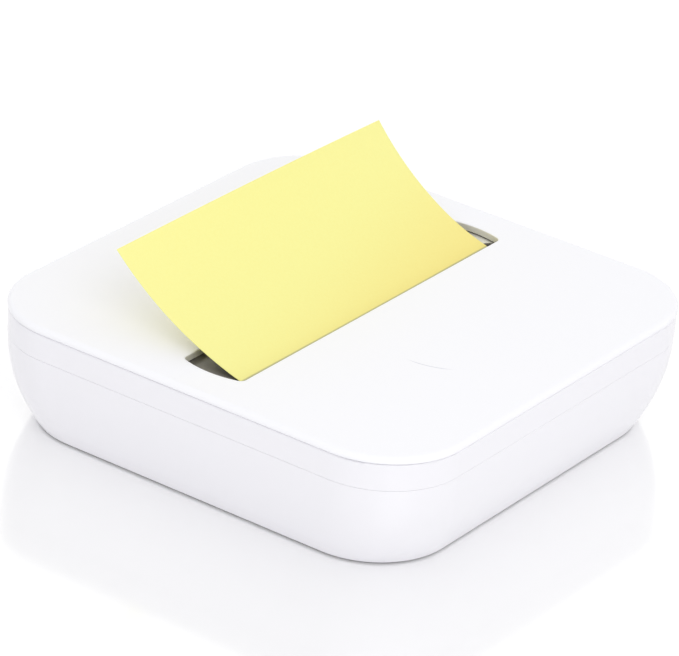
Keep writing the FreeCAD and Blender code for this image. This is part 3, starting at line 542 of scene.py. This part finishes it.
def slotRing(outset, level):
    # The bowed ends are arcs about a point on the slot's middle line, and the corners touch them
    halfX, halfY = plateForm["slotLength"] / 2 * mm, plateForm["slotWidth"] / 2 * mm
    bow, corner = plateForm["slotBow"] * mm, plateForm["slotCorner"] * mm
    bowRadius = (halfY ** 2 + bow ** 2) / (2 * bow)
    bowCentre = halfX + bow - bowRadius
    cornerY = halfY - corner
    lean = math.asin(cornerY / (bowRadius - corner))
    cornerX = bowCentre + (bowRadius - corner) * math.cos(lean)
    quarter, half = math.pi / 2, math.pi
    spans = [
        (1, 1, lean, quarter), (-1, 1, quarter, half - lean),
        (-1, -1, half + lean, half + quarter), (1, -1, half + quarter, 2 * half - lean)]
    arcs = [
        arcPoints(
            sideX * cornerX, sideY * cornerY, corner + outset, start, end, plateForm["cornerSteps"], level)
        for sideX, sideY, start, end in spans]
    ring = []
    bowSpans = {1: (-1, half - lean, half + lean), 3: (1, -lean, lean)}
    for turn, arc in enumerate(arcs):
        ring += arc
        if turn in bowSpans:
            side, start, end = bowSpans[turn]
            steps = plateForm["shortSteps"]
            bowed = arcPoints(side * bowCentre, 0, bowRadius + outset, start, end, steps, level)
            ring += bowed[1:-1]
        else:
            last, ahead = arc[-1], arcs[turn + 1][0]
            steps = plateForm["longSteps"]
            ring += [last.lerp(ahead, step / steps) for step in range(1, steps)]
    return ring


def makeTopPlate():
    low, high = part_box("top_plate")
    under, top = low[2], high[2]
    slotRound, upperRound, lowerRound = (plateForm[k] * mm for k in ("slotRound", "upperRound", "lowerRound"))
    steps = plateForm["roundSteps"]
    rings = [slotRing(0, under)]
    for step in range(steps + 1):
        angle = math.pi / 2 * step / steps
        rings.append(slotRing(slotRound * (1 - math.cos(angle)), top - slotRound * (1 - math.sin(angle))))
    inner, outer = rings[-1], plateRing(upperRound, top)
    rings += [[a.lerp(b, share) for a, b in zip(inner, outer)] for share in plateForm["flatShares"]]
    for step in range(steps + 1):
        angle = math.pi / 2 * step / steps
        rings.append(plateRing(upperRound * (1 - math.sin(angle)), top - upperRound * (1 - math.cos(angle))))
    for step in range(steps + 1):
        angle = math.pi / 2 * step / steps
        rings.append(plateRing(lowerRound * (1 - math.cos(angle)), under + lowerRound * (1 - math.sin(angle))))
    points = [point for ring in rings for point in ring]
    plate = finishPiece(
        "topPlate", points, ringFaces(rings, closed=True), plateCoat, 40, "top_plate")
    # the punched edge is the slot's wall and half of its round
    cutEdge = plate.data.attributes.new("cutEdge", "FLOAT", "POINT")
    edgeRings = steps // 2 + 1
    for index in range(len(rings[0]) * edgeRings):
        cutEdge.data[index].value = 1.0


makeTopPlate()

# The standing note: each stretch along it is an arc, and its angle to the desk changes from its
# left edge over its middle to its right edge
noteCurl = {
    "thickness": 0.12,  # mm
    "entrySetback": 3.2,  # mm, start of the bends in front of the slot's edge
    "entryBelow": 0.95,  # mm, start of the bends under the top of the frame's deck
    "skew": 0.6,  # mm, further forward at the right than at the middle
    "padClearance": 0.1,  # mm, tail above the pad where it comes closest
    "lowerBend": 17.0,  # mm along the note
    "upperBend": 21.0,
    "slotAngle": (12.0, 8.0, 7.0),  # degrees, left, middle, right
    "bendAngle": (25.0, 27.5, 29.0),
    "freeAngle": (44.0, 59.0, 50.5),
    "acrossSteps": 48,
    "tailSteps": 12,
    "lowerSteps": 16,
    "upperSteps": 24,
}


def noteLine(side, slotAngle, bendAngle, freeAngle):
    # Points and angles along the note at its left edge (-1), middle (0) or right edge (1)
    padLow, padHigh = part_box("note_pad")
    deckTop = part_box("plate_adhesive")[0][2]
    entryY = -(plateForm["slotWidth"] / 2 + noteCurl["entrySetback"] + side * noteCurl["skew"]) * mm
    entry = Vector((side * padHigh[0], entryY, deckTop - noteCurl["entryBelow"] * mm))
    closest = padHigh[2] + (noteCurl["padClearance"] + noteCurl["thickness"] / 2) * mm
    slotTurn, bendTurn, freeTurn = (math.radians(angle) for angle in (slotAngle, bendAngle, freeAngle))
    radius = (entry.z - closest) / (1 - math.cos(slotTurn))
    tailTurn = math.asin(math.sin(slotTurn) - (entry.y - padLow[1]) / radius)
    tail = Vector((entry.x, padLow[1], closest + radius * (1 - math.cos(tailTurn))))
    line = [(tail, tailTurn)]
    for start, end, length, steps in [
            (tailTurn, slotTurn, radius * (slotTurn - tailTurn), noteCurl["tailSteps"]),
            (slotTurn, bendTurn, noteCurl["lowerBend"] * mm, noteCurl["lowerSteps"]),
            (bendTurn, freeTurn, noteCurl["upperBend"] * mm, noteCurl["upperSteps"])]:
        for step in range(1, steps + 1):
            point, before = line[-1]
            turn = start + (end - start) * step / steps
            heading = (before + turn) / 2
            line.append((point + Vector((0, math.cos(heading), math.sin(heading))) * length / steps, turn))
    return line


def makeStandingNote():
    lines = [noteLine(side, *angles) for side, angles in zip(
        (-1, 0, 1), zip(noteCurl["slotAngle"], noteCurl["bendAngle"], noteCurl["freeAngle"]))]
    left, middle, right = lines
    half = noteCurl["thickness"] / 2 * mm
    faceRows = {1: [], -1: []}
    for step in range(noteCurl["acrossSteps"] + 1):
        across = -1 + 2 * step / noteCurl["acrossSteps"]
        # a smooth curve through the left, middle and right lines
        shares = (across * (across - 1) / 2, 1 - across ** 2, across * (across + 1) / 2)
        for offset, rows in faceRows.items():
            row = []
            for stations in zip(left, middle, right):
                point = sum((station[0] * share for station, share in zip(stations, shares)), Vector())
                turn = sum(station[1] * share for station, share in zip(stations, shares))
                row.append(point + Vector((0, -math.sin(turn), math.cos(turn))) * half * offset)
            rows.append(row)
    # each ring runs up the upper face and back along the lower one
    rings = [upper + lower[::-1] for upper, lower in zip(faceRows[1], faceRows[-1])]
    points = [point for ring in rings for point in ring]
    faces = ringFaces(rings, closed=False)
    along = len(left)
    for start, turned in ((0, False), ((len(rings) - 1) * 2 * along, True)):
        for i in range(along - 1):
            edge = (start + i, start + i + 1, start + 2 * along - 2 - i, start + 2 * along - 1 - i)
            faces.append(edge[::-1] if turned else edge)
    finishPiece("standingNote", points, faces, sheetPaper, 60, "standing_note")


makeStandingNote()

# The pad: a stack of cut sheets that don't line up quite, so that its sides show their edges
padStack = {
    "sheet": 0.12,  # mm
    "stray": 0.05,  # mm, a sheet's edge to either side of the block's
    "corner": 0.25,  # mm, cut corners worn by handling
    "cornerSteps": 3,
    "sideSteps": 8,
    "seed": 7,
}


def makeNotePad():
    low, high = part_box("note_pad")
    corner, stray = padStack["corner"] * mm, padStack["stray"] * mm
    sideSteps = (padStack["sideSteps"], padStack["sideSteps"])
    chance = random.Random(padStack["seed"])
    sheets = round((high[2] - low[2]) / (padStack["sheet"] * mm))
    thickness = (high[2] - low[2]) / sheets
    rings = []
    for sheet in range(sheets):
        inset = chance.uniform(0, stray)
        for level in (low[2] + sheet * thickness, low[2] + (sheet + 1) * thickness):
            rings.append(roundedRing(high, corner, inset, level, padStack["cornerSteps"], sideSteps))
    points = [point for ring in rings for point in ring]
    faces = ringFaces(rings, closed=False)
    count = len(rings[0])
    faces.append(tuple(range(count))[::-1])
    faces.append(tuple(range((len(rings) - 1) * count, len(rings) * count)))
    finishPiece("notePad", points, faces, padPaper, 30, "note_pad")


makeNotePad()

carriedOver = {
    "plate_adhesive": makeBondingSheet(),
    "cover_frame": framePlastic,
    "base_tray": trayPlastic,
    "ballast_plate": makeRolledSteel(),
    "bottom_cover": coverPlastic,
}
for name, cadNode in nodes.items():
    if name.startswith("base_screw"):
        finish = zinc
    elif name.startswith("rubber_foot"):
        finish = rubber
    elif name in carriedOver:
        finish = carriedOver[name]
    else:
        continue
    cadNode.data.materials.clear()
    cadNode.data.materials.append(finish)
print("finishes set on the carried-over nodes")

studio = {
    "floorColour": "FAFAFA",
    "floorGloss": 0.5,
    "floorRoughness": 0.14,
    "floorHalf": 3.0,  # metres
    "floorLift": 0.05,  # glow of the lit backdrop, full behind the object, for the camera alone
    "floorLiftFrom": -0.3,  # metres from the origin, away from the camera
    "floorLiftTo": 0.12,
    "worldStrength": 0.9,
    "worldMirrored": 1.16,  # what the floor's and the coat's gloss mirror
    "worldSeen": 1.0,  # plain white behind the object
    "lamps": {
        # watts, metres across, azimuth (0 is the front, -90 the left side), elevation, metres away
        "keyLamp": (1.0, 0.5, -36.0, 40.0, 0.8),
    },
}

pureWhite = (1.0, 1.0, 1.0, 1.0)


def makeFloor():
    material, tree, place = startMaterial("studioFloorAcrylic")
    diffuse = addNode(tree, "ShaderNodeBsdfDiffuse", {"Color": linearFrom(studio["floorColour"])})
    gloss = addNode(
        tree, "ShaderNodeBsdfAnisotropic",
        {"Color": linearFrom(studio["floorColour"]), "Roughness": studio["floorRoughness"]})
    both = addNode(
        tree, "ShaderNodeMixShader", {0: studio["floorGloss"]}, {1: diffuse.outputs[0], 2: gloss.outputs[0]})
    away = -towards(cameraView["azimuth"], 0)
    depth = addNode(tree, "ShaderNodeVectorMath", {"operation": "DOT_PRODUCT", 1: away}, {0: place})
    lift = addNode(
        tree, "ShaderNodeMapRange",
        {"interpolation_type": "SMOOTHSTEP", "From Min": studio["floorLiftFrom"],
         "From Max": studio["floorLiftTo"], "To Max": studio["floorLift"]},
        {"Value": depth.outputs["Value"]})
    seen = addNode(tree, "ShaderNodeLightPath")
    strength = addNode(
        tree, "ShaderNodeMath", {"operation": "MULTIPLY"},
        {0: lift.outputs["Result"], 1: seen.outputs["Is Camera Ray"]})
    glow = addNode(tree, "ShaderNodeEmission", {"Color": pureWhite}, {"Strength": strength.outputs[0]})
    endMaterial(tree, addNode(tree, "ShaderNodeAddShader", links={0: both.outputs[0], 1: glow.outputs[0]}))
    half = studio["floorHalf"]
    mesh = bpy.data.meshes.new("studioFloor")
    corners = [(-half, -half, 0), (half, -half, 0), (half, half, 0), (-half, half, 0)]
    mesh.from_pydata(corners, [], [(0, 1, 2, 3)])
    floor = bpy.data.objects.new("studioFloor", mesh)
    bpy.context.scene.collection.objects.link(floor)
    floor.data.materials.append(material)


def makeWorld():
    world = bpy.data.worlds.new("paleStudio")
    bpy.context.scene.world = world
    world.use_nodes = True
    tree = world.node_tree
    tree.nodes.clear()
    seen = addNode(tree, "ShaderNodeLightPath")
    light, mirrored, white = (
        addNode(tree, "ShaderNodeBackground", {"Color": pureWhite, "Strength": strength})
        for strength in (studio["worldStrength"], studio["worldMirrored"], studio["worldSeen"]))
    glossy = addNode(
        tree, "ShaderNodeMixShader",
        links={0: seen.outputs["Is Glossy Ray"], 1: light.outputs[0], 2: mirrored.outputs[0]})
    both = addNode(
        tree, "ShaderNodeMixShader",
        links={0: seen.outputs["Is Camera Ray"], 1: glossy.outputs[0], 2: white.outputs[0]})
    addNode(tree, "ShaderNodeOutputWorld", links={"Surface": both.outputs[0]})


def towards(azimuth, elevation):
    # Unit direction from the object, azimuth 0 is the front and -90 the left side
    azimuth, elevation = math.radians(azimuth), math.radians(elevation)
    return Vector((
        math.sin(azimuth) * math.cos(elevation), -math.cos(azimuth) * math.cos(elevation), math.sin(elevation)))


def makeLamps():
    for name, (power, size, azimuth, elevation, distance) in studio["lamps"].items():
        lamp = bpy.data.lights.new(name, "AREA")
        lamp.shape = "DISK"
        lamp.size = size
        lamp.energy = power
        holder = bpy.data.objects.new(name, lamp)
        toLamp = towards(azimuth, elevation)
        holder.location = toLamp * distance
        holder.rotation_euler = (-toLamp).to_track_quat("-Z", "Y").to_euler()
        bpy.context.scene.collection.objects.link(holder)


cameraView = {
    "azimuth": -55.406,  # degrees, 0 looks along +Y
    "elevation": 26.702,
    "roll": 4.148,
    "distance": 894.51,  # mm from the origin
    "across": 0.334,  # mm, camera beside the origin
    "up": 15.996,  # mm, camera above the line to the origin
    "lens": 255.79,  # mm, on a sensor 36 mm wide
    "sensor": 36.0,
}


def makeCamera():
    back = towards(cameraView["azimuth"], cameraView["elevation"])
    roll = math.radians(cameraView["roll"])
    level = Vector((0, 0, 1)).cross(back).normalized()
    upright = back.cross(level)
    right = math.cos(roll) * level + math.sin(roll) * upright
    up = math.cos(roll) * upright - math.sin(roll) * level
    data = bpy.data.cameras.new("photoCamera")
    data.lens = cameraView["lens"]
    data.sensor_width = cameraView["sensor"]
    camera = bpy.data.objects.new("photoCamera", data)
    place = back * cameraView["distance"] + right * cameraView["across"] + up * cameraView["up"]
    camera.matrix_world = Matrix.Translation(place * mm) @ Matrix((right, up, back)).transposed().to_4x4()
    bpy.context.scene.collection.objects.link(camera)
    bpy.context.scene.camera = camera


makeFloor()
makeWorld()
makeLamps()
makeCamera()
bpy.context.scene.view_settings.view_transform = "Standard"
print("studio and camera set")
